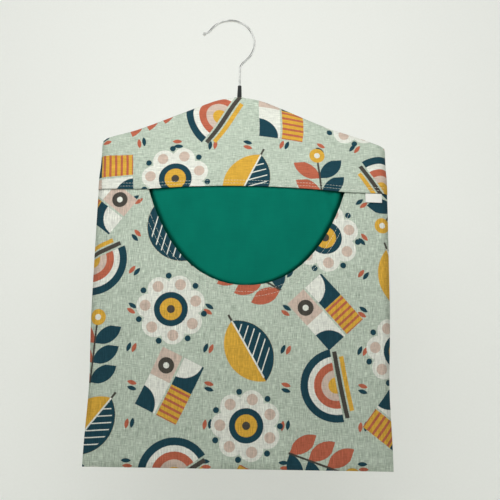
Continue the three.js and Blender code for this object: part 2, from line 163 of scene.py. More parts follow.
# Grids
EDGE_STEPS = np.array([0, 0.12, 0.35, 0.7, 1.1, 1.7, 2.5, 3.5, 4.7, 6.2, 8, 10]) * MM
SEWN_STEPS = np.concatenate([np.arange(0, 7.2, 0.6), np.arange(7.5, 13, 0.7), [14]]) * MM
CLOTH_PITCH = 2 * MM
LINING_PITCH = 3.5 * MM
SEEN_LINING_PITCH = 1.6 * MM
LINING_SETBACK = 0.3 * MM  # of the front lining's edge behind the mouth's
MOUTH_COLUMNS = 200  # over half the mouth's edge
FRONT_ROWS = 62  # of the front panel between its edges
FRONT_LINING_ROWS = 40
NECK_COLUMNS = 17
RIM_STEPS = 3
TAPE_ROWS = 14
TAPE_COLUMNS = 25
TAPE_FOLD_STEPS = 8


# Outline and depth of the bag

def soft_step(t):
    t = np.clip(t, 0, 1)
    return t * t * (3 - 2 * t)


def bell(t):
    return np.exp(-(t**2))


def unit(vectors):
    return vectors / np.linalg.norm(vectors, axis=-1, keepdims=True)


def arc(centre, radius, start, end, steps):
    turns = np.linspace(start, end, steps)
    return np.stack([centre[0] + radius * np.cos(turns), centre[1] + radius * np.sin(turns)], -1)


def shoulder_height(x):
    away = np.abs(x)
    on_arc = np.minimum(away, ARC_REACH)
    fall = CROWN_RADIUS - np.sqrt(CROWN_RADIUS**2 - on_arc**2)
    return CROWN_Z - fall - (away - on_arc) * math.tan(SHOULDER_SLOPE)


def half_width(z):
    return HALF_SHOULDER + (HALF_FOOT - HALF_SHOULDER) * np.clip((CROWN_Z - z) / BAG_LENGTH, 0, 1)


def hem_height(x):
    across = (x - MOUTH_SHIFT) / MOUTH_HALF
    return HEM_Z + HEM_ARCH * np.maximum(0, 1 - across**2)


def side_gap(x, z):
    """Distance to the nearer side seam."""
    return half_width(z) - np.abs(x)


def roll(distance):
    return np.sin(math.pi / 2 * np.clip(distance / EDGE_ROLL, 0, 1))


def rolled(x, z):
    return roll(side_gap(x, z)) * roll(shoulder_height(x) - z) * roll(z - BOTTOM_Z)


def fold(distance):
    """Share of its thickness that a cloth keeps at a distance from the fold of a turned seam."""
    away = 1 - np.clip(distance / SEAM_FOLD, 0, 1)
    return np.sqrt(1 - away * away)


def canvas_thickness(x, z):
    return CANVAS * fold(side_gap(x, z)) * fold(shoulder_height(x) - z) * fold(z - BOTTOM_Z)


def neck_gap(x, z):
    open_share = np.maximum(0, 1 - (x / NECK_SLIT) ** 2) ** 2
    return NECK_OPENING * open_share * (1 - roll(shoulder_height(x) - z))


def side_pucker(x, z):
    """Small waves that the sewing draws along the side seams."""
    along = z / SIDE_PUCKER_SPREAD + 0.8 * np.sin(z / SIDE_PUCKER_DRIFT) + np.sign(x)
    return SIDE_PUCKER * np.sin(along * 2) * bell(side_gap(x, z) / SIDE_PUCKER_REACH)


def bulge(x, z):
    across = np.maximum(0, 1 - (x / half_width(z)) ** 2)
    upward = np.sin(math.pi * np.clip((z - BOTTOM_Z) / BAG_LENGTH, 0, 1)) ** 2
    return MOUTH_BULGE * across * upward


def drape(x, z):
    """Soft upright waves of the hanging front, none near the seams and under the yoke."""
    inward = soft_step(side_gap(x, z) / DRAPE_SIDE) * soft_step((HEM_Z - z) / DRAPE_TOP)
    waves = 0
    for length, lean, phase, share in DRAPE_WAVES:
        waves = waves + share * np.sin(TURN * (x + lean * (z - BOTTOM_Z)) / length + phase)
    return DRAPE * inward * waves * roll(z - BOTTOM_Z)


def back_depth(x, z):
    """Inner face of the back panel; the front's starts from the same form."""
    filled = FOOT_SHARE + (1 - FOOT_SHARE) * soft_step((z - BOTTOM_Z) / FOOT_REACH)
    full = (INSIDE_DEPTH - SEAM_DEPTH) * filled + side_pucker(x, z)
    return SEAM_DEPTH + neck_gap(x, z) + full * rolled(x, z)


def front_depth(x, z):
    return back_depth(x, z) + bulge(x, z) + drape(x, z)


def yoke_depth(x, z):
    above = (z - hem_height(x) - HEM_OVERLAP) / HEM_OVERLAP
    return front_depth(x, z) + HEM_STACK * (1 - soft_step(above))


def sewn(distance, along, rows):
    """Relief near a stitched edge: a groove under each row, and puckers that die away from the edge."""
    groove = sum(bell((distance - row) / GROOVE_WIDTH) for row in rows)
    wave = np.sin(TURN * along / PUCKER_PITCH + PUCKER_WANDER * np.sin(TURN * along / PUCKER_DRIFT))
    return PUCKER * wave * bell(distance / PUCKER_REACH) - GROOVE_DEPTH * groove


def lining_forward(x, z):
    """How far the back lining, which hangs loose below the hanger, bellies towards the mouth."""
    room = front_depth(x, z) + back_depth(x, z) - 2 * (LINING + LAYER_GAP)
    start = shoulder_height(x) - LIFT_ROOM
    lowered = soft_step((start - z) / np.maximum(start - HEM_Z, LOOSE_TOP))
    raised = soft_step((z - BOTTOM_Z) / LOOSE_FOOT)
    inward = soft_step((side_gap(x, z) - LOOSE_EDGE) / LOOSE_SIDE)
    share = lowered * raised * inward
    band = bell((x - FOLDS_X) / FOLDS_WIDTH) * soft_step((z - HEM_Z + FOLDS_DROP) / FOLDS_RISE)
    folds = FOLDS * band * np.sin(TURN * (x + FOLDS_LEAN * z) / FOLDS_PITCH)
    inset, steepness = mouth_inset(x, z)
    crevice = FLOOR_CREVICE + (SIDE_CREVICE - FLOOR_CREVICE) * steepness
    fallen = np.clip(1 - inset / (CREVICE_SLOPE * crevice), 0, 1) ** 2
    under_hem = soft_step((z - HEM_Z + NEAR_DROP) / NEAR_RISE)
    amid = soft_step((MOUTH_HALF - NEAR_END - np.abs(x - MOUTH_SHIFT)) / NEAR_FADE)
    nearer = HEM_NEARNESS * under_hem * amid - LINING_CLEARANCE
    return share * np.maximum(0, room + nearer - crevice * fallen - folds)


def settled(points):
    """Points of the bag as it hangs: slid along the hanger, drawn in and uneven along its shoulders."""
    x, y, z = np.moveaxis(points, -1, 0)
    waist = WAIST * bell((z - WAIST_Z) / WAIST_REACH)
    shoulder = SHOULDER_DRAW * bell((z - SHOULDER_Z) / SHOULDER_REACH)
    drawn = x * (1 - (waist + shoulder) / HALF_FOOT)
    aside = SLIDE * soft_step((CROWN_Z - z) / SLIDE_REACH)
    corner_z = shoulder_height(HALF_SHOULDER)
    from_corner = np.hypot(side_gap(x, corner_z), z - corner_z)
    pulled = CORNER_PULL * bell(from_corner / CORNER_REACH)
    down = pulled
    for middle, depth, reach in (RIGHT_DIP, LEFT_RISE):
        away = np.hypot(x - middle, z - shoulder_height(x))
        down = down + depth * bell(away / reach)
    return np.stack([drawn + aside - np.sign(x) * pulled, y, z - down], -1)


# Places on the flat cloth

def stations(length, pitch):
    """Distances along a length: fine steps at both ends and about one pitch between them."""
    inner = length - 2 * EDGE_STEPS[-1]
    middle = np.linspace(EDGE_STEPS[-1], length - EDGE_STEPS[-1], round(inner / pitch) + 1)
    return np.concatenate([EDGE_STEPS[:-1], middle, (length - EDGE_STEPS[:-1])[::-1]])


def columns(pitch):
    """Shares of the half width across a sheet, closer together round the neck's gap."""
    across = stations(2 * HALF_SHOULDER, pitch) - HALF_SHOULDER
    neck = np.linspace(-NECK_SLIT, NECK_SLIT, NECK_COLUMNS)
    outside = across[np.abs(across) > NECK_SLIT + pitch / 2]
    return np.sort(np.concatenate([outside, neck])) / HALF_SHOULDER


def rows_between(low, rise, high, fall, low_steps, count):
    """Rows of places from a low edge to a high one: given steps off both edges and even ones between."""
    first = [low + rise * step for step in low_steps]
    last = [high + fall * step for step in EDGE_STEPS[::-1]]
    shares = np.linspace(0, 1, count + 1)[1:-1]
    middle = [first[-1] + (last[0] - first[-1]) * share for share in shares]
    return np.array(first + middle + last)


def upright_places(low_edge, low_steps, pitch, inset):
    """Places of a sheet whose columns run upright from a low edge, as heights over X, to its shoulders."""
    share = columns(pitch)
    edges = []
    for height in (low_edge, lambda x: shoulder_height(x) - inset):
        x = share * (half_width(height(share * HALF_SHOULDER)) - inset)
        edges.append(np.stack([x, height(x)], -1))
    low, high = edges
    up = np.array([0, 1])
    count = round((high[:, 1].max() - low[:, 1].min()) / pitch)
    return rows_between(low, up, high, -up, low_steps, count)


def yoke_places(pitch=CLOTH_PITCH, inset=0):
    return upright_places(hem_height, SEWN_STEPS, pitch, inset)


def back_places(pitch=CLOTH_PITCH, inset=0):
    return upright_places(lambda x: np.full_like(x, BOTTOM_Z + inset), EDGE_STEPS, pitch, inset)


def mouth_half(share):
    """Half of the mouth's edge, from its right end (share 0) to the middle of its floor (share 1)."""
    handles = np.array([
        [MOUTH_HALF, 0],
        [MOUTH_HALF - MOUTH_LEAN, -MOUTH_DROP],
        [FLOOR_HANDLE, -MOUTH_DEPTH],
        [0, -MOUTH_DEPTH],
    ])
    t = share[:, None]
    weights = [(1 - t) ** 3, 3 * t * (1 - t) ** 2, 3 * t**2 * (1 - t), t**3]
    return sum(weight * handle for weight, handle in zip(weights, handles))


def mouth_edge(count):
    """Places along the mouth's edge from left to right, and at each the way into the cloth.

    The edge starts and ends behind the yoke, where the front panel's own upper edge is.
    """
    share = np.linspace(0, 1, count + 1)
    half = mouth_half(share)
    left = half * [-1, 1]
    scoop = np.concatenate([left, half[-2::-1]]) + [MOUTH_SHIFT, HEM_Z]
    rise = np.linspace(HEM_OVERLAP, 0, BEHIND_STEPS + 1)[:-1]
    behind = np.stack([np.zeros_like(rise), rise], -1)
    edge = np.concatenate([scoop[0] + behind, scoop, (scoop[-1] + behind)[::-1]])
    along = unit(np.gradient(edge, axis=0))
    return edge, np.stack([along[:, 1], -along[:, 0]], -1)


def mouth_inset(x, z):
    """How far a place lies inside the mouth's edge (negative under the cloth), and the edge's steepness."""
    scoop = mouth_edge(MOUTH_COLUMNS)[0][BEHIND_STEPS:-BEHIND_STEPS]
    floor = np.interp(x, scoop[:, 0], scoop[:, 1])
    slope = np.interp(x, scoop[:, 0], np.gradient(scoop[:, 1], scoop[:, 0]))
    level = 1 / np.sqrt(1 + slope**2)
    return (z - floor) * level, np.sqrt(1 - level**2)


def front_places(count=MOUTH_COLUMNS, rows=FRONT_ROWS, inset=0, setback=0):
    """Places of the lower front: its columns fan out from the mouth's edge to the sides and the bottom."""
    edge, inward = mouth_edge(count)
    edge = edge + inward * setback
    share = np.linspace(0, 1, count + 1)
    down = HEM_Z + (BOTTOM_Z + inset - HEM_Z) * np.minimum(1, share / CORNER_SHARE)
    down = np.concatenate([edge[:BEHIND_STEPS, 1], down])
    across = np.clip((share - CORNER_SHARE) / (1 - CORNER_SHARE), 0, 1)
    across = np.concatenate([np.zeros(BEHIND_STEPS), across])
    halves = []
    for side in (-1, 1):
        reach = side * (half_width(down) - inset)
        halves.append(np.stack([reach + (MOUTH_SHIFT - reach) * across, down], -1))
    border = np.concatenate([halves[0], halves[1][-2::-1]])
    back = unit(edge + inward * SEWN_STEPS[-1] - border)
    return rows_between(edge, inward, border, back, SEWN_STEPS, rows)


# Meshes

def mesh_piece(name, points, faces, cut=None):
    """A smooth, welded mesh object; cut holds each point's place on the flat cloth."""
    mesh = bpy.data.meshes.new(name)
    mesh.from_pydata(points.reshape(-1, 3).tolist(), [], faces)
    if cut is not None:
        attribute = mesh.attributes.new("cut", "FLOAT_VECTOR", "POINT")
        attribute.data.foreach_set("vector", cut.astype(np.float32).ravel())
    shape = bmesh.new()
    shape.from_mesh(mesh)
    bmesh.ops.remove_doubles(shape, verts=shape.verts, dist=WELD)
    bmesh.ops.recalc_face_normals(shape, faces=shape.faces)
    for face in shape.faces:
        face.smooth = True
    shape.to_mesh(mesh)
    shape.free()
    piece = bpy.data.objects.new(name, mesh)
    scene.collection.objects.link(piece)
    return piece


def band_faces(index):
    """Quads between neighbours in a grid of point numbers."""
    corners = [index[:-1, :-1], index[:-1, 1:], index[1:, 1:], index[1:, :-1]]
    return np.stack(corners, -1).reshape(-1, 4).tolist()


def cloth(name, places, inner, outer, side):
    """A closed sheet with faces at two depths; its first row of places is a rounded fold.

    Side is -1 in front of the seams' plane and 1 behind it.
    """
    way = unit(places[0] - places[1])
    middle = (inner[0] + outer[0]) / 2
    radius = (outer[0] - inner[0]) / 2
    turns = np.linspace(0, math.pi, RIM_STEPS + 2)[1:-1]
    rim_places = [places[0] + way * (radius * math.sin(turn))[:, None] for turn in turns]
    rim_depths = [middle + radius * math.cos(turn) for turn in turns]
    flat = np.concatenate([places[::-1], rim_places, places])
    depth = np.concatenate([outer[::-1], rim_depths, inner])
    points = np.stack([flat[..., 0], side * depth, flat[..., 1]], -1)
    cut = np.stack([flat[..., 0], flat[..., 1], np.zeros_like(depth)], -1)
    index = np.arange(depth.size).reshape(depth.shape)
    faces = band_faces(np.concatenate([index, index[:1]]))
    rows = len(places)
    for end in (0, -1):
        front = index[:rows, end][::-1]
        back = index[rows + RIM_STEPS :, end]
        faces += band_faces(np.stack([front, back]))
        faces.append(index[rows - 1 : rows + RIM_STEPS + 1, end].tolist())
    return mesh_piece(name, settled(points), faces, cut)


def tube(centres, radii, across, sides):
    """A closed tube of changing radius round a line of points; across is square to it all along."""
    along = unit(np.gradient(centres, axis=0))
    other = np.cross(along, across)
    turns = np.arange(sides) * TURN / sides
    spokes = across[None] * np.cos(turns)[:, None, None] + other[None] * np.sin(turns)[:, None, None]
    points = (centres[None] + spokes * radii[None, :, None]).transpose(1, 0, 2)
    index = np.arange(points.shape[0] * sides).reshape(-1, sides)
    faces = band_faces(np.concatenate([index, index[:, :1]], 1))
    faces += [index[0].tolist(), index[-1].tolist()]
    return points, faces


def turned(name, profile, sides):
    """A solid of revolution about the swivel axis, from a closed loop of [radius, height] pairs."""
    profile = np.array(profile)
    turns = np.arange(sides) * TURN / sides
    x = profile[:, :1] * np.cos(turns)
    y = profile[:, :1] * np.sin(turns)
    z = np.repeat(profile[:, 1:], sides, 1)
    index = np.arange(x.size).reshape(x.shape)
    index = np.concatenate([index, index[:, :1]], 1)
    return mesh_piece(name, np.stack([x, y, z], -1), band_faces(np.concatenate([index, index[:1]])))


# Cloth pieces

def layers(depth, places):
    """Inner and outer faces of a canvas sheet."""
    x, z = places[..., 0], places[..., 1]
    inner = depth(x, z)
    return inner, inner + canvas_thickness(x, z)


def lining_layers(depth, places):
    inner = depth(places[..., 0], places[..., 1]) - LAYER_GAP - LINING
    return inner, inner + LINING


def arc_lengths(points):
    steps = np.linalg.norm(np.diff(points, axis=0), axis=-1)
    return np.concatenate([[0], np.cumsum(steps)])


def front_panel():
    places = front_places()
    inner, outer = layers(front_depth, places)
    along = arc_lengths(places[0])
    for row, step in enumerate(SEWN_STEPS):
        outer[row] += sewn(step, along, MOUTH_ROWS)
    return cloth("front_panel_cloth", places, inner, outer, -1)


def front_lining():
    places = front_places(MOUTH_COLUMNS // 2, FRONT_LINING_ROWS, SEAM_ALLOWANCE, LINING_SETBACK)
    return cloth("front_lining_cloth", places, *lining_layers(front_depth, places), -1)


def front_yoke():
    places = yoke_places()
    inner, outer = layers(yoke_depth, places)
    for row, step in enumerate(SEWN_STEPS):
        outer[row] += sewn(step, places[row, :, 0], HEM_ROWS) * fold(side_gap(*places[row].T))
    return cloth("yoke_cloth", places, inner, outer, -1)


def yoke_lining():
    places = yoke_places(LINING_PITCH, SEAM_ALLOWANCE)
    return cloth("yoke_lining_cloth", places, *lining_layers(yoke_depth, places), -1)


def back_panel():
    places = back_places()
    return cloth("back_panel_cloth", places, *layers(back_depth, places), 1)


def back_lining():
    places = back_places(SEEN_LINING_PITCH, SEAM_ALLOWANCE)
    inner, outer = lining_layers(back_depth, places)
    forward = lining_forward(places[..., 0], places[..., 1])
    return cloth("back_lining_cloth", places, inner - forward, outer - forward, 1)


def tag():
    """A tape folded in two under the hem, flat across and lifting a little towards its fold."""
    low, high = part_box("label")
    fold_z = low.z + TAPE_BEND + TAPE_CLOTH / 2
    down = np.linspace(high.z, fold_z, TAPE_ROWS)
    turns = np.linspace(0, math.pi, TAPE_FOLD_STEPS + 1)[1:-1]
    z = np.concatenate([down, fold_z - TAPE_BEND * np.sin(turns), down[::-1]])
    out = np.concatenate([np.ones(TAPE_ROWS), np.cos(turns), -np.ones(TAPE_ROWS)]) * TAPE_BEND
    line = np.stack([z, out], -1)
    along = unit(np.gradient(line, axis=0))
    across = np.stack([along[:, 1], -along[:, 0]], -1) * TAPE_CLOTH / 2
    ring = np.concatenate([line + across, (line - across)[::-1]])
    x, ring_z = np.meshgrid(np.linspace(low.x, high.x, TAPE_COLUMNS), ring[:, 0])
    lift = TAPE_LIFT * np.clip((high.z - ring_z) / (high.z - low.z), 0, 1) ** 2
    seat = CANVAS + LAYER_GAP + TAPE_BEND + TAPE_CLOTH / 2 + lift
    depth = front_depth(np.minimum(x, HALF_SHOULDER - EDGE_ROLL), ring_z) + seat + ring[:, 1:]
    tape_length = np.concatenate([arc_lengths(line), arc_lengths(line)[::-1]])
    cut = np.stack([x, np.broadcast_to(tape_length[:, None], x.shape), np.zeros_like(x)], -1)
    index = np.arange(x.size).reshape(x.shape)
    faces = band_faces(np.concatenate([index, index[:1]]))
    for end in (0, -1):
        faces += band_faces(np.stack([index[: len(z), end], index[len(z) :, end][::-1]]))
    return mesh_piece("tag", settled(np.stack([x, -depth, ring_z], -1)), faces, cut)


# Stitches

def stitches(name, lines):
    """All stitches along some lines of points on the front as one mesh, with five rings to a stitch."""
    shares = np.array([0, 0.2, 0.5, 0.8, 1])
    lift = np.array([-0.16, 0.06, 0.14, 0.06, -0.16]) * MM
    swell = np.array([0.4, 0.9, 1, 0.9, 0.4]) * THREAD_RADIUS
    across = np.tile([0.0, -1, 0], (len(shares), 1))
    points = []
    faces = []
    for line in lines:
        along = arc_lengths(line)
        for start in np.arange(0, along[-1] - STITCH_LENGTH, STITCH_PITCH):
            at = start + shares * STITCH_LENGTH
            centres = np.stack([np.interp(at, along, line[:, axis]) for axis in range(3)], -1)
            centres[:, 1] -= lift
            ring_points, ring_faces = tube(centres, swell, across, STITCH_SIDES)
            first = sum(map(len, points))
            points.append(ring_points.reshape(-1, 3))
            faces += [[first + corner for corner in face] for face in ring_faces]
    return mesh_piece(name, np.concatenate(points), faces)


def on_front(places, depth, distance, rows):
    x, z = places[:, 0], places[:, 1]
    along = x if depth is yoke_depth else arc_lengths(places)
    out = depth(x, z) + canvas_thickness(x, z) + sewn(distance, along, rows)
    return settled(np.stack([x, -out, z], -1))


def hem_stitches():
    x = np.linspace(-HALF_SHOULDER + ROW_END, HALF_SHOULDER - ROW_END, ROW_POINTS)
    lines = []
    for row in HEM_ROWS:
        places = np.stack([x, hem_height(x) + row], -1)
        lines.append(on_front(places, yoke_depth, row, HEM_ROWS))
    return stitches("hem_stitches", lines)


def mouth_stitches():
    edge, inward = (rows[BEHIND_STEPS:-BEHIND_STEPS] for rows in mouth_edge(MOUTH_COLUMNS))
    lines = [on_front(edge + inward * row, front_depth, row, MOUTH_ROWS) for row in MOUTH_ROWS]
    return stitches("mouth_stitches", lines)


# Hook and sleeve

WIRE_RADIUS = 1.3 * MM
LOOP_RADIUS = 26.1 * MM
LOOP_X = -11 * MM
LOOP_Z = CROWN_Z + 62.2 * MM
LOOP_EXIT = math.radians(45)
NECK_RADIUS = 11.5 * MM
TIP_START = math.radians(146)
TIP_RADIUS = 8.4 * MM
TIP_TURN = math.radians(29)
TIP_STRAIGHT = 3.8 * MM
TIP_BALL = 2.1 * MM
TIP_POINT = 0.05 * MM  # radius that is left at the outside of the ball
HEAD_RADIUS = 2.3 * MM
HEAD_HEIGHT = 2.2 * MM
HOOK_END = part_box("hook")[0].z
TIP_STEPS = 16
BALL_STEPS = 25
LOOP_STEPS = 120
NECK_STEPS = 20
SHANK_STEPS = 40
WIRE_SIDES = 28

SLEEVE_BORE = 1.52 * MM  # this and the next four are radii
SLEEVE_TOP = 2.0 * MM
SLEEVE_CROWN = 2.5 * MM
SLEEVE_SPIGOT = 2.4 * MM
SLEEVE_NOSE = 0.45 * MM
SLEEVE_SEAT = 0.25 * MM  # from the rolled edge of the crown down to the hanger's hub
FLANGE_HEIGHT = 1.2 * MM
FLANGE_EDGE = 0.2 * MM
SLEEVE_SIDES = 40
NOSE_STEPS = 7


def wire_line():
    """The wire's centreline in X and Z, from the outside of the ball on its tip to the end of its shank."""
    tip = LOOP_RADIUS + TIP_RADIUS
    tip_centre = (LOOP_X + tip * math.cos(TIP_START), LOOP_Z + tip * math.sin(TIP_START))
    tip_bend = arc(tip_centre, TIP_RADIUS, TIP_START + math.pi - TIP_TURN, TIP_START + math.pi, TIP_STEPS)
    out = unit(tip_bend[0] - tip_bend[1])
    ball = tip_bend[0] + out * TIP_STRAIGHT
    shares = np.cos(np.linspace(0, math.pi, BALL_STEPS))
    start = ball + out * TIP_BALL * shares[:, None]
    loop = arc((LOOP_X, LOOP_Z), LOOP_RADIUS, TIP_START, -LOOP_EXIT, LOOP_STEPS)
    leave = loop[-1]
    straight = (leave[0] - NECK_RADIUS * (1 - math.cos(LOOP_EXIT))) / math.sin(LOOP_EXIT)
    neck_z = leave[1] - straight * math.cos(LOOP_EXIT) - NECK_RADIUS * math.sin(LOOP_EXIT)
    neck = arc((NECK_RADIUS, neck_z), NECK_RADIUS, math.pi - LOOP_EXIT, math.pi, NECK_STEPS)
    heights = np.linspace(neck_z, HOOK_END, SHANK_STEPS + 1)[1:]
    shank = np.stack([np.zeros(SHANK_STEPS), heights], -1)
    return np.concatenate([start, tip_bend[1:], loop[1:], neck, shank]), ball


def hook_wire():
    line, ball = wire_line()
    centres = np.stack([line[:, 0], np.zeros(len(line)), line[:, 1]], -1)
    from_ball = np.linalg.norm(line - ball, axis=-1)
    ball_radii = np.sqrt(np.maximum(TIP_BALL**2 - from_ball**2, TIP_POINT**2))
    before = arc_lengths(line) < TIP_BALL
    radii = np.where(before, ball_radii, np.maximum(WIRE_RADIUS, ball_radii))
    radii[line[:, 1] < HOOK_END + HEAD_HEIGHT] = HEAD_RADIUS
    across = np.tile([0.0, 1, 0], (len(line), 1))
    return mesh_piece("hook_wire", *tube(centres, radii, across, WIRE_SIDES))


def neck_sleeve():
    """The tapered sleeve, with a rounded nose, a flange and the spigot that sits in the hanger."""
    low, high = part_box("neck_bush")
    flange = high.x
    hub_top = CROWN_Z - EDGE_ROLL - SLEEVE_SEAT
    flange_top = hub_top + FLANGE_HEIGHT
    nose = arc((SLEEVE_TOP - SLEEVE_NOSE, high.z - SLEEVE_NOSE), SLEEVE_NOSE, 0, math.pi / 2, NOSE_STEPS)
    profile = [
        [SLEEVE_BORE, low.z],
        [SLEEVE_SPIGOT, low.z],
        [SLEEVE_SPIGOT, hub_top],
        [flange - FLANGE_EDGE, hub_top],
        [flange, hub_top + FLANGE_EDGE],
        [flange, flange_top - FLANGE_EDGE],
        [flange - FLANGE_EDGE, flange_top],
        [SLEEVE_CROWN, flange_top],
        [SLEEVE_CROWN, CROWN_Z],
        *nose,
        [SLEEVE_BORE, high.z],
    ]
    return turned("neck_sleeve", profile, SLEEVE_SIDES)


# Materials

EDGE_SOFTNESS = 0.45  # of a printed edge, in millimetres
EDGE_RAGGEDNESS = 0.7  # the same
CELL_WIDTH = 77 * MM
CELL_HEIGHT = 75 * MM
CANVAS_THREAD = 0.6 * MM
COTTON_THREAD = 0.4 * MM
TAPE_THREAD = 0.28 * MM
FINE_SLUB = (0.5 * MM, 7 * MM)  # widths and lengths of uneven threads
BROAD_SLUB = (0.7 * MM, 24 * MM)
COTTON_SLUB = (0.7 * MM, 20 * MM)
TAPE_SLUB = (0.5 * MM, 6 * MM)


def linear(code):
    """A colour written as sRGB hex digits, in linear light."""
    channels = [int(code[start : start + 2], 16) / 255 for start in (0, 2, 4)]
    return (*[c / 12.92 if c <= 0.04045 else ((c + 0.055) / 1.055) ** 2.4 for c in channels], 1)


SAGE = linear("a7b6a4")
PALE_SAGE = linear("c3cdbe")
NAVY = linear("1f414c")
TERRACOTTA = linear("b5634b")
MUSTARD = linear("d2a440")
CREAM = linear("dddfd4")
BLUSH = linear("c8b5a6")
CHARCOAL = linear("48453f")
GREEN = linear("08725f")
DEEP_GREEN = linear("076c5a")  # in its deeper patches
THREAD = linear("cfd6c6")
TAPE = linear("f0eeea")
PLASTIC = linear("17191a")
PLASTIC_WORN = linear("282b2b")
PLATING = linear("edeeec")
PLATING_DULL = linear("d4d6d4")
BACKDROP = linear("fcfef8")
BACKDROP_TOOTH = linear("f6f8f1")


def operation(kind, swapped=False):
    """A method of Field that adds one Math node."""
    def method(self, *others):
        values = (*others, self) if swapped else (self, *others)
        return self.graph.node("Math", dict(enumerate(values)), operation=kind)

    return method


class Field:
    """An output of a graph's nodes; operations on it add nodes to that graph."""

    def __init__(self, graph, socket):
        self.graph = graph
        self.socket = socket

    __add__ = operation("ADD")
    __radd__ = operation("ADD", swapped=True)
    __sub__ = operation("SUBTRACT")
    __rsub__ = operation("SUBTRACT", swapped=True)
    __mul__ = operation("MULTIPLY")
    __truediv__ = operation("DIVIDE")
    __mod__ = operation("FLOORED_MODULO")
    __abs__ = operation("ABSOLUTE")
    floor = operation("FLOOR")
    sine = operation("SINE")
    cosine = operation("COSINE")
    arctan2 = operation("ARCTAN2")
    near = operation("COMPARE")

    def vector(self, kind, *others, output=0):
        """What a Vector Math node makes of this vector and others."""
        inputs = dict(enumerate((self, *others)))
        return self.graph.node("VectorMath", inputs, output, operation=kind)

    def scaled(self, *factors):
        return self.vector("MULTIPLY", factors)

    def length(self):
        return self.vector("LENGTH", output=1)

    def rotated(self, angle):
        inputs = {"Vector": self, "Angle": angle}
        return self.graph.node("VectorRotate", inputs, rotation_type="Z_AXIS")

    def parts(self, axes=(0, 1)):
        return [self.graph.node("SeparateXYZ", {0: self}, axis) for axis in axes]

    def noise(self, scale, detail=2.0, roughness=0.5):
        inputs = {"Vector": self, "Scale": scale, "Detail": detail, "Roughness": roughness}
        return self.graph.node("TexNoise", inputs)

    def ranged(self, low, high, to_low=0.0, to_high=1.0):
        """This value stretched from one range to another, and held inside the second."""
        return self.graph.node("MapRange", {0: self, 1: low, 2: high, 3: to_low, 4: to_high})

    def between(self, below, above):
        """The colour between two that this share stands for."""
        return self.graph.node("Mix", {0: self, 6: below, 7: above}, 2, data_type="RGBA")

    def tinted(self, factor):
        """This colour, brighter or darker by a factor."""
        return self.graph.node("VectorMath", {0: self, "Scale": factor}, operation="SCALE")

    def bump(self, distance, strength):
        return self.graph.node("Bump", {"Height": self, "Distance": distance, "Strength": strength})

    def inside(self, limit):
        """1 where this measure in millimetres is under a limit and 0 elsewhere, as soft as a printed edge."""
        inputs = {0: self, 1: -1 / EDGE_SOFTNESS, 2: limit / EDGE_SOFTNESS + 0.5}
        return self.graph.node("Math", inputs, operation="MULTIPLY_ADD", use_clamp=True)

    def disc(self, centre, radius):
        return self.vector("DISTANCE", (*centre, 0), output=1).inside(radius)

    def box(self, centre, half_x, half_z):
        x, z = self.vector("SUBTRACT", (*centre, 0)).vector("ABSOLUTE").parts()
        return x.inside(half_x) * z.inside(half_z)

    def leaf(self, centre, half_width, half_length):
        """A pointed oval along the second axis, where two discs meet."""
        radius = (half_length**2 + half_width**2) / (2 * half_width)
        offset = radius - half_width
        sides = [self.disc((centre[0] + side * offset, centre[1]), radius) for side in (-1, 1)]
        return sides[0] * sides[1]


def joined(x, z):
    return x.graph.node("CombineXYZ", {0: x, 1: z})


class Graph:
    """The nodes of a material or of the world, which is their owner."""

    def __init__(self, owner):
        owner.use_nodes = True
        self.owner = owner
        self.tree = owner.node_tree
        self.tree.nodes.clear()

    def node(self, kind, inputs, output=0, **settings):
        made = self.tree.nodes.new("ShaderNode" + kind)
        for key, value in settings.items():
            setattr(made, key, value)
        for key, value in inputs.items():
            if isinstance(value, Field):
                self.tree.links.new(value.socket, made.inputs[key])
            else:
                made.inputs[key].default_value = value
        return Field(self, made.outputs[output]) if made.outputs else None

    def place(self):
        """The place on the piece itself."""
        return self.node("TexCoord", {}, 3)

    def cut(self):
        """The place on the flat cloth."""
        return self.node("Attribute", {}, 1, attribute_name="cut")

    def seen(self):
        """1 for what the camera sees, straight or in something shiny or clear, and 0 for light."""
        rays = ("Is Camera Ray", "Is Glossy Ray", "Is Transmission Ray")
        return sum(self.node("LightPath", {}, ray) for ray in rays)

    def surface(self, sockets):
        """The finished material, with one shader from its sockets' names and values."""
        self.node("OutputMaterial", {"Surface": self.node("BsdfPrincipled", sockets)})
        return self.owner


def weave(cut, pitch):
    """Relief of a plain weave, from 0 to 1: each thread shows on every second crossing."""
    x, z = cut.scaled(math.pi / pitch, math.pi / pitch, 0).parts()
    warp = x.sine()
    weft = z.sine()
    over = (warp * weft).ranged(-0.25, 0.25)
    return over * abs(warp) + (1 - over) * abs(weft)


def slubs(cut, width, length):
    """Uneven threads in both directions, as two fields round 0.5: along the cut and across it."""
    upright = cut.scaled(1 / width, 1 / length, 0).noise(1.0, 1.0)
    level = cut.scaled(1 / length, 1 / width, 7).noise(1.0, 1.0)
    return upright, level


# Motifs of the print: each returns its layers of colour and mask, in millimetres about its middle

def split_leaf(place):
    x, z = place.parts()
    body = place.leaf((0, 3), 23, 34)
    left = x.inside(0)
    vein = ((z - x * 0.9) % 9).inside(1.5) * place.leaf((-1, 3), 19, 30)
    return [
        (CHARCOAL, place.box((0, -33), 1.1, 5)),
        (MUSTARD, body),
        (NAVY, body * left),
        (CREAM, vein * left),
        (CREAM, place.box((0, 1), 0.8, 32)),
    ]


def arches(place):
    above = (0 - place.parts()[1]).inside(13)
    bands = [(NAVY, 36), (CREAM, 28.5), (TERRACOTTA, 22.5), (BLUSH, 15), (MUSTARD, 8)]
    rings = [(colour, place.disc((0, -13), radius) * above) for colour, radius in bands]
    return [
        *rings,
        (CHARCOAL, place.box((0, -17), 33, 2.2)),
        (MUSTARD, place.box((0, -23), 27, 2.2)),
    ]


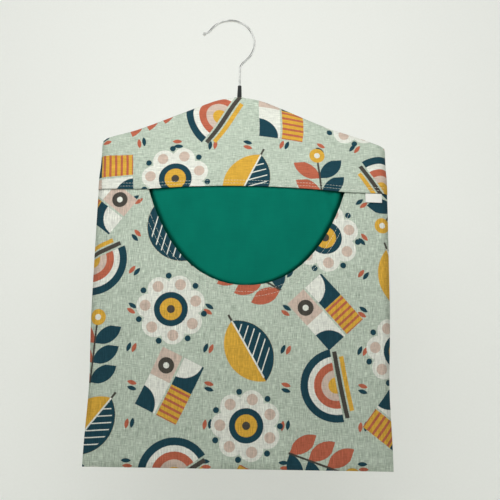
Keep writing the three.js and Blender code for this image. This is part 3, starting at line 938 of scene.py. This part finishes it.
def fanned(place, sector):
    """A place brought into the one sector about the first axis that stands for all sectors."""
    x, z = place.parts()
    angle = z.arctan2(x) % sector - sector / 2
    away = place.length()
    return joined(away * angle.cosine(), away * angle.sine())


def bloom(place):
    petal = TURN / 7
    petals = fanned(place, petal)
    berries = fanned(place.rotated(petal / 2), petal)
    away = place.length()
    return [
        (NAVY, berries.disc((33.5, 0), 3)),
        (CREAM, petals.disc((23, 0), 12)),
        (BLUSH, petals.disc((26, 0), 5.5)),
        (NAVY, away.inside(17)),
        (MUSTARD, away.inside(11)),
        (CHARCOAL, away.inside(4)),
    ]


def sprig(place):
    x, z = place.parts()
    step = (z + 36) % 19.5
    leaf_place = joined(abs(x) - 12.5, step - 10).rotated(math.radians(52))
    leaves = leaf_place.leaf((0, 0), 7.6, 16) * z.inside(22.5) * (0 - z).inside(36)
    return [
        (NAVY, leaves),
        (TERRACOTTA, leaves * x.inside(0)),
        (CHARCOAL, place.box((0, -5), 1.0, 32)),
        (MUSTARD, place.disc((0, 29), 8)),
        (CREAM, place.disc((0, 29), 3)),
    ]


def patchwork(place):
    x, z = place.parts()
    whole = place.box((0, 0), 31, 23)
    left = x.inside(-2)
    right = (0 - x).inside(2)
    low = z.inside(-1)
    high = (0 - z).inside(-1)
    stripes = (x % 6).inside(2.4)
    return [
        (MUSTARD, whole * right * high),
        (TERRACOTTA, whole * right * high * stripes),
        (NAVY, whole * left * high),
        (CREAM, place.disc((-31, 1), 20) * whole * high),
        (CREAM, whole * right * low),
        (NAVY, place.disc((31, -23), 20) * whole * low),
        (BLUSH, whole * left * low),
        (CHARCOAL, place.disc((-16, -12), 8)),
        (CREAM, place.disc((-16, -12), 3)),
    ]


def sprouts(x, z):
    """Small pairs of leaves between the motifs, from the place in widths and heights of a cell."""
    half_row = z * 2 + 0.5
    width = CELL_WIDTH / MM
    height = CELL_HEIGHT / MM / 2
    aside = (x + 0.5) % 1 * width - width / 2
    along = half_row % 1 * height - height / 2
    place = joined(aside, along).rotated(half_row.floor() * 1.7)
    return [
        (TERRACOTTA, place.leaf((-2.6, 0), 2.1, 5)),
        (NAVY, place.leaf((2.6, 1.5), 2.1, 5)),
    ]


MOTIFS = (split_leaf, arches, bloom, sprig, patchwork)


def printed(cut, colour):
    """A ground colour with the print on it: one turned motif in each cell of a half-drop layout."""
    x, z = cut.scaled(1 / CELL_WIDTH, 1 / CELL_HEIGHT, 0).parts()
    column = x.floor()
    dropped = z + (column % 2) * 0.5
    row = dropped.floor()
    aside = (x - column - 0.5) * (CELL_WIDTH / MM)
    along = (dropped - row - 0.5) * (CELL_HEIGHT / MM)
    kind = (column + row * 3) % len(MOTIFS)
    turn = (column % 4) * 1.9 + (row % 3) * 2.6
    ragged = (cut.noise(900.0, 1.0) - 0.5) * EDGE_RAGGEDNESS
    place = joined(aside, along).rotated(turn).vector("ADD", joined(ragged, ragged))
    for ink, mask in sprouts(x, z):
        colour = mask.between(colour, ink)
    for number, motif in enumerate(MOTIFS):
        chosen = kind.near(float(number), 0.5)
        for ink, mask in motif(place):
            colour = (mask * chosen).between(colour, ink)
    return colour


def canvas_material(name, turn, shift, contrast):
    """Printed canvas with a linen look; turn and shift say how the cut lies on the roll of cloth."""
    graph = Graph(bpy.data.materials.new(name))
    cut = graph.cut().rotated(turn).vector("ADD", (*shift, 0))
    upright, level = slubs(cut, *FINE_SLUB)
    broad_upright, broad_level = slubs(cut, *BROAD_SLUB)
    pale = (upright * 0.5 + level * 0.5).ranged(0.36, 0.64)
    colour = printed(cut, pale.between(SAGE, PALE_SAGE))
    uneven = upright * 0.7 + level * 0.45 + broad_upright * 0.55 + broad_level * 0.2 - 0.95
    shade = 1 + uneven * contrast
    relief = weave(cut, CANVAS_THREAD)
    height = relief * 0.7 + upright * 0.5 + level * 0.4
    return graph.surface({
        # The weave's relief also darkens the colour where the threads dip: painted shade in the weave's
        # hollows.
        "Base Color": colour.tinted(shade * (0.96 + relief * 0.08)),
        "Roughness": upright.ranged(0.2, 0.8, 0.82, 0.96),
        "Normal": height.bump(0.25 * MM, 0.55),
        "Sheen Weight": 0.04,
        "Sheen Roughness": 0.5,
        "Specular IOR Level": 0.12,
    })


def lining_material():
    graph = Graph(bpy.data.materials.new("green_cotton"))
    cut = graph.cut()
    upright, level = slubs(cut, *COTTON_SLUB)
    patches = cut.scaled(55.0, 28.0, 0).noise(1.0).ranged(0.3, 0.7)
    relief = weave(cut, COTTON_THREAD)
    # The slubs vary the cotton's tone; the weave's relief adds painted shade, darker where the threads dip.
    shade = 0.8 + upright * 0.11 + level * 0.16 + relief * 0.12
    return graph.surface({
        "Base Color": patches.between(GREEN, DEEP_GREEN).tinted(shade),
        "Roughness": upright.ranged(0.2, 0.8, 0.74, 0.88),
        "Normal": (relief + upright * 0.4).bump(0.15 * MM, 0.5),
        "Specular IOR Level": 0.06,
    })


def thread_material():
    graph = Graph(bpy.data.materials.new("sewing_thread"))
    place = graph.place()
    twist = place.noise(2600.0)
    broad = place.noise(45.0, 1.0)
    shade = 0.84 + twist * 0.22 + broad * 0.12
    return graph.surface({
        "Base Color": broad.between(THREAD, CREAM).tinted(shade),
        "Roughness": twist.ranged(0.2, 0.8, 0.55, 0.75),
        "Normal": twist.bump(0.08 * MM, 0.5),
    })


def tape_material():
    graph = Graph(bpy.data.materials.new("woven_tape"))
    cut = graph.cut()
    relief = weave(cut, TAPE_THREAD)
    upright, level = slubs(cut, *TAPE_SLUB)
    # The slubs vary the tape's tone; the weave's relief adds painted shade, darker where the threads dip.
    shade = 0.9 + relief * 0.07 + upright * 0.06 + level * 0.04
    return graph.surface({
        "Base Color": upright.between(TAPE, CREAM).tinted(shade),
        "Roughness": level.ranged(0.2, 0.8, 0.5, 0.68),
        "Normal": relief.bump(0.1 * MM, 0.45),
        "Sheen Weight": 0.1,
    })


def chrome_material():
    """Bright plating with fine drawing lines, and dull where hands and rails have rubbed it."""
    graph = Graph(bpy.data.materials.new("plated_wire"))
    place = graph.place()
    lines = place.scaled(1400.0, 5200.0, 1400.0).noise(1.0)
    rubbed = place.noise(130.0, 3.0, 0.6).ranged(0.5, 0.72)
    return graph.surface({
        "Base Color": rubbed.between(PLATING, PLATING_DULL),
        "Metallic": 1.0,
        "Roughness": (rubbed * 0.6 + lines * 0.4).ranged(0.0, 1.0, 0.05, 0.18),
        "Normal": lines.bump(0.01 * MM, 0.2),
    })


def plastic_material():
    """Moulded plastic with a fine grain, paler where it has been scuffed."""
    graph = Graph(bpy.data.materials.new("moulded_plastic"))
    place = graph.place()
    grain = place.noise(3200.0)
    scuffs = place.scaled(260.0, 260.0, 90.0).noise(1.0, 4.0, 0.62).ranged(0.55, 0.78)
    return graph.surface({
        "Base Color": scuffs.between(PLASTIC, PLASTIC_WORN),
        "Roughness": (grain * 0.5 + scuffs * 0.5).ranged(0.0, 1.0, 0.34, 0.62),
        "Normal": grain.bump(0.05 * MM, 0.35),
    })


# Stage

WALL_Y = 0.28
FLOOR_Z = -0.84
STAGE_REACH = 3.0
FLOOR_REACH = 1.2  # in front of the object
COVE = 0.22
COVE_STEPS = 17
BACKDROP_GLOW = 0.45  # near the object, where its shadow falls
FAR_GLOW = 0.78
GLOW_START = 0.6  # distances between which the one passes into the other
GLOW_END = 1.6


def backdrop_material():
    """Pale paper with a faint glow of its own, seen from its front only, so that it hides nothing."""
    graph = Graph(bpy.data.materials.new("backdrop_paper"))
    place = graph.place()
    colour = place.noise(350.0, 3.0).between(BACKDROP, BACKDROP_TOOTH)
    paper = graph.node("BsdfDiffuse", {"Color": colour})
    glow = graph.node("Emission", {"Color": colour})
    away = place.vector("DISTANCE", (0, 0, FLOOR_Z / 2), output=1)
    share = away.ranged(GLOW_START, GLOW_END, BACKDROP_GLOW, FAR_GLOW)
    lit = graph.node("MixShader", {0: graph.seen() * share, 1: paper, 2: glow})
    behind = graph.node("NewGeometry", {}, "Backfacing")
    clear = graph.node("BsdfTransparent", {})
    graph.node("OutputMaterial", {"Surface": graph.node("MixShader", {0: behind, 1: lit, 2: clear})})
    return graph.owner


def backdrop():
    """A floor that sweeps up into a wall behind the object."""
    bend = arc((WALL_Y - COVE, FLOOR_Z + COVE), COVE, -math.pi / 2, 0, COVE_STEPS)
    profile = [(-FLOOR_REACH, FLOOR_Z), *bend, (WALL_Y, STAGE_REACH)]
    points = np.array([[(side * STAGE_REACH, y, z) for side in (-1, 1)] for y, z in profile])
    index = np.arange(len(profile) * 2).reshape(-1, 2)
    piece = mesh_piece("backdrop", points, band_faces(index))
    if piece.data.polygons[0].normal.z < 0:
        piece.data.flip_normals()
    piece.data.materials.append(backdrop_material())


def aimed(data, place, way):
    """A lamp or a camera at a place, level and looking a given way."""
    holder = bpy.data.objects.new(data.name, data)
    holder.location = place
    holder.rotation_mode = "QUATERNION"
    holder.rotation_quaternion = way.to_track_quat("-Z", "Y")
    scene.collection.objects.link(holder)
    return holder


def lamp(name, place, aim, size, power):
    light = bpy.data.lights.new(name, "AREA")
    light.shape = "DISK"
    light.size = size
    light.energy = power
    holder = aimed(light, place, Vector(aim) - Vector(place))
    holder.visible_camera = False
    holder.visible_glossy = False


LIGHT_TINT = (0.988, 1, 0.97, 1)
FILL_LIGHT = 0.17  # on the object
SKY = 0.82  # seen past the stage
SHINE = 1.0  # seen in shiny things
SIDE_SHINE = 0.8  # the same, low at both sides
SIDE_STEEPNESS = (0.3, 0.5)  # between which the one passes into the other
GLOOM = 0.01  # the same, in the dark sectors and the dark spot
# Middle and half width of each sector in degrees, up from the right
GLOOM_SECTORS = ((88, 6), (124, 13), (63, 2), (34, 3), (-14, 6), (-35, 10), (-163, 14))
GLOOM_EDGE = 3  # degrees
GLOOM_START = (0.5, 0.6)  # sine of the angle from the Y axis, over which the sectors begin
GLOOM_SPOT = (0, -0.92, -0.392)  # low in front
GLOOM_SPOT_EDGE = (0.9, 0.95)


def surroundings():
    """Even soft light from all round, and a pale background.

    Shiny things see it duller at both sides, and dark in a few sectors and in a spot low in front.
    """
    world = bpy.data.worlds.new("surroundings")
    scene.world = world
    graph = Graph(world)
    direction = graph.node("TexCoord", {}, "Generated")
    x, height = direction.parts((0, 2))
    off_axis = joined(x, height).length()
    angle = height.arctan2(x) * (360 / TURN)
    dark = 0
    for middle, half in GLOOM_SECTORS:
        dark = dark + abs(angle - middle).ranged(half + GLOOM_EDGE, half)
    near_spot = direction.vector("DOT_PRODUCT", GLOOM_SPOT, output=1)
    dark = dark * off_axis.ranged(*GLOOM_START) + near_spot.ranged(*GLOOM_SPOT_EDGE)
    steep = abs(height) / off_axis
    shine = steep.ranged(*SIDE_STEEPNESS, SIDE_SHINE, SHINE) * (1 - dark) + dark * GLOOM
    glossy = graph.node("LightPath", {}, "Is Glossy Ray")
    strength = graph.seen().ranged(0.0, 1.0, FILL_LIGHT, glossy * shine + (1 - glossy) * SKY)
    light = graph.node("Background", {"Color": LIGHT_TINT, "Strength": strength})
    graph.node("OutputWorld", {"Surface": light})


CAMERA_AIM = Vector((0.0140, 0, -0.2489))
CAMERA_RISE = math.radians(-9.45)  # negative, as it is below its aim
CAMERA_ROLL = math.radians(0.95)
CAMERA_DISTANCE = 0.715
LENS = 50  # millimetres, as is the sensor's width
SENSOR = 36


def camera():
    back = Vector((0, -math.cos(CAMERA_RISE), math.sin(CAMERA_RISE)))
    lens = bpy.data.cameras.new("camera")
    lens.lens = LENS
    lens.sensor_width = SENSOR
    lens.clip_start = 0.01
    scene.camera = aimed(lens, CAMERA_AIM + back * CAMERA_DISTANCE, -back)
    roll_turn = Quaternion((0, 0, 1), CAMERA_ROLL)
    scene.camera.rotation_quaternion = scene.camera.rotation_quaternion @ roll_turn


# Assembly

def dress(piece, body, material, slot, *nodes):
    """Gives a piece its material, the body that it rides on and the nodes that it stands for; slot is not
    used.
    """
    piece.data.materials.append(material)
    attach(piece, body)
    if nodes:
        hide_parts(*nodes)
    return piece


def flat_area(places):
    """Area of a cut, from its grid of places."""
    one = places[1:, 1:] - places[:-1, :-1]
    two = places[1:, :-1] - places[:-1, 1:]
    return float(np.abs(one[..., 0] * two[..., 1] - one[..., 1] * two[..., 0]).sum() / 2)


def bag():
    upright = canvas_material("printed_canvas_front", turn=0.0, shift=(0.031, 0.012), contrast=1.2)
    level = canvas_material("printed_canvas_yoke", turn=math.pi / 2, shift=(0.4, 0.07), contrast=0.85)
    behind = canvas_material("printed_canvas_back", turn=0.0, shift=(0.58, 0.33), contrast=1.0)
    green = lining_material()
    thread = thread_material()
    front = dress(front_panel(), "bag", upright, "printed_canvas", "front_panel")
    yoke = dress(front_yoke(), "bag", level, "printed_canvas", "front_yoke")
    back = dress(back_panel(), "bag", behind, "printed_canvas", "back_panel")
    front_inside = dress(front_lining(), "bag", green, "green_lining", "front_lining")
    yoke_inside = dress(yoke_lining(), "bag", green, "green_lining", "yoke_lining")
    back_inside = dress(back_lining(), "bag", green, "green_lining", "back_lining")
    hem_thread = dress(hem_stitches(), "bag", thread, "printed_canvas")
    mouth_thread = dress(mouth_stitches(), "bag", thread, "printed_canvas")
    tape = dress(tag(), "label", tape_material(), "white_tape", "label")
    yoke_area = flat_area(yoke_places())
    back_area = flat_area(back_places())


MOULDED_EDGE = 0.35 * MM  # width of the hanger's rounded edges
SHARP = math.radians(40)  # turn from which an edge is rounded


def hanger():
    plastic = plastic_material()
    dress(hook_wire(), "hook", chrome_material(), "chrome_wire", "hook")
    dress(neck_sleeve(), "hanger", plastic, "black_plastic", "neck_bush")
    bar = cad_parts["hanger_bar"]
    bar.data.materials.clear()
    bar.data.materials.append(plastic)
    soften = bar.modifiers.new("soft_edges", "BEVEL")
    soften.width = MOULDED_EDGE
    soften.segments = 2
    soften.limit_method = "ANGLE"
    soften.angle_limit = SHARP


bag()
hanger()
backdrop()
surroundings()
lamp("key", place=(-0.03, -0.58, 0.1), aim=(0, 0, -0.08), size=0.7, power=5.2)
lamp("rear", place=(0, 0.24, -0.2), aim=(0, 0, -0.25), size=0.6, power=0.75)
camera()
scene.view_settings.view_transform = "Standard"
